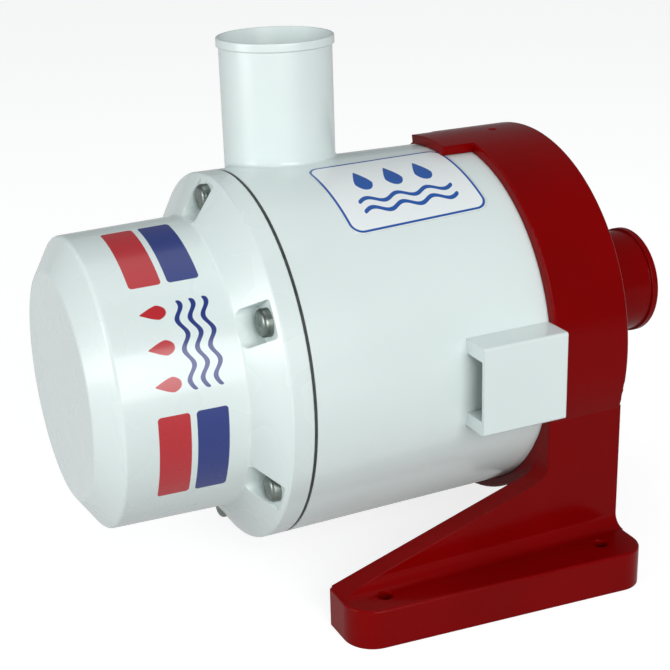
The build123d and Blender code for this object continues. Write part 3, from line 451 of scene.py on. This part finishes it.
for row in range(LABEL_WAVE_COUNT):
    line = rippled(tree, downwards, across, LABEL_WAVE_LENGTH, LABEL_WAVE_SWING)
    middle = (0.0, LABEL_WAVE_FIRST + LABEL_WAVE_STEP * row)
    label_shapes.append(
        panel(tree, across, line, middle, LABEL_WAVE_HALF_SIZE, LABEL_WAVE_HALF_SIZE[1] - ROUND_END)
    )
for place_in_row in (-1, 0, 1):
    drop_across = sums(tree, "SUBTRACT", across, LABEL_DROP_STEP * place_in_row)
    drop_rise = sums(tree, "SUBTRACT", downwards, LABEL_DROP_PLACE)
    label_shapes.append(
        water_drop(tree, drop_rise, drop_across, LABEL_DROP_TIP, LABEL_DROP_SHOULDER, LABEL_DROP_HALF)
    )
blue_mask = printed_mask(tree, label_shapes)
tree.links.new(
    blend_colour(tree, blue_mask, surface.outputs["Color"], LABEL_BLUE), shader.inputs["Base Color"]
)
finish_node("casing_label", label_film)

# ---------------------------------------------------------------- foot bracket
# The bracket is one glossy red moulding: a cup over the casing's rear, legs, feet and the inlet spigot.
# It is pushed on from the inlet end, and its two arms snap into the casing's loops.
BRACKET_RED = (0.2, 0.0004, 0.0008, 1.0)
BRACKET_RED_SHADE = (0.165, 0.0003, 0.0006, 1.0)
bracket_red, _, shader, _ = plastic("bracket_red", BRACKET_RED, BRACKET_RED_SHADE, 0.2, 1.0, 0.0)
shader.inputs["Specular IOR Level"].default_value = 0.07
for name in ("bracket", "inlet_nozzle"):
    finish_node(name, bracket_red)

# ---------------------------------------------------------------- floor, light and camera
# The pump stands on a plain pale floor, which glows a little towards the camera so that it stays white.
# Three soft boxes light it from above, from the cover's end and from the label side.
FLOOR_RADIUS = 9.0
FLOOR_GREY = (0.36, 0.36, 0.36, 1.0)
GLOW_SEEN = 0.8
GLOW_MIRRORED = 0.45
SKY = (0.93, 0.97, 1.0, 1.0)
SKY_STRENGTH = 0.25

floor_mesh = bpy.data.meshes.new("floor")
shape = bmesh.new()
bmesh.ops.create_circle(shape, cap_ends=True, segments=96, radius=FLOOR_RADIUS)
shape.to_mesh(floor_mesh)
shape.free()
floor = bpy.data.objects.new("floor", floor_mesh)
bpy.context.scene.collection.objects.link(floor)
floor_paint = bpy.data.materials.new("floor_paint")
floor_paint.use_nodes = True
floor_tree = floor_paint.node_tree
floor_shader = floor_tree.nodes["Principled BSDF"]
floor_shader.inputs["Base Color"].default_value = FLOOR_GREY
floor_shader.inputs["Roughness"].default_value = 0.8
floor_shader.inputs["Emission Color"].default_value = (1.0, 1.0, 1.0, 1.0)
ray = floor_tree.nodes.new("ShaderNodeLightPath")
seen = sums(floor_tree, "MULTIPLY", ray.outputs["Is Camera Ray"], GLOW_SEEN)
mirrored = sums(floor_tree, "MULTIPLY", ray.outputs["Is Glossy Ray"], GLOW_MIRRORED)
floor_tree.links.new(sums(floor_tree, "ADD", seen, mirrored), floor_shader.inputs["Emission Strength"])
floor_mesh.materials.append(floor_paint)

world = bpy.data.worlds.new("studio")
world.use_nodes = True
sky = world.node_tree.nodes["Background"]
sky.inputs["Color"].default_value = SKY
sky.inputs["Strength"].default_value = SKY_STRENGTH
bpy.context.scene.world = world
bpy.context.scene.view_settings.view_transform = "Standard"

MIDDLE = (0.0, 0.0, PUMP_AXIS_HEIGHT)


def softbox(name, place, width, height, power):
    """A rectangular studio light at a place, pointed at the middle of the pump."""
    lamp = bpy.data.lights.new(name, "AREA")
    lamp.shape = "RECTANGLE"
    lamp.size = width
    lamp.size_y = height
    lamp.energy = power
    holder = bpy.data.objects.new(name, lamp)
    holder.location = place
    holder.rotation_euler = (Vector(MIDDLE) - Vector(place)).to_track_quat("-Z", "Y").to_euler()
    bpy.context.scene.collection.objects.link(holder)


softbox("overhead", (0.0, 0.1, 1.0), 0.7, 0.7, 1.5)
softbox("left_box", (-1.25, -0.05, 0.28), 0.6, 0.8, 8.9)
softbox("front_box", (-0.05, -1.25, 0.5), 0.8, 0.8, 12.3)

CAMERA_PLACE = (-0.2082, -0.4290, 0.2568)
CAMERA_YAW = math.radians(24.47)
CAMERA_PITCH = math.radians(20.6)
CAMERA_ROLL = math.radians(-1.74)
lens = bpy.data.cameras.new("camera")
lens.lens = 75.9
lens.sensor_width = 36.0
lens.clip_start = 0.01
camera = bpy.data.objects.new("camera", lens)
turn = Matrix.Rotation(-CAMERA_YAW, 4, "Z") @ Matrix.Rotation(math.pi / 2 - CAMERA_PITCH, 4, "X")
turn = turn @ Matrix.Rotation(CAMERA_ROLL, 4, "Z")
camera.matrix_world = Matrix.Translation(CAMERA_PLACE) @ turn
bpy.context.scene.collection.objects.link(camera)
bpy.context.scene.camera = camera
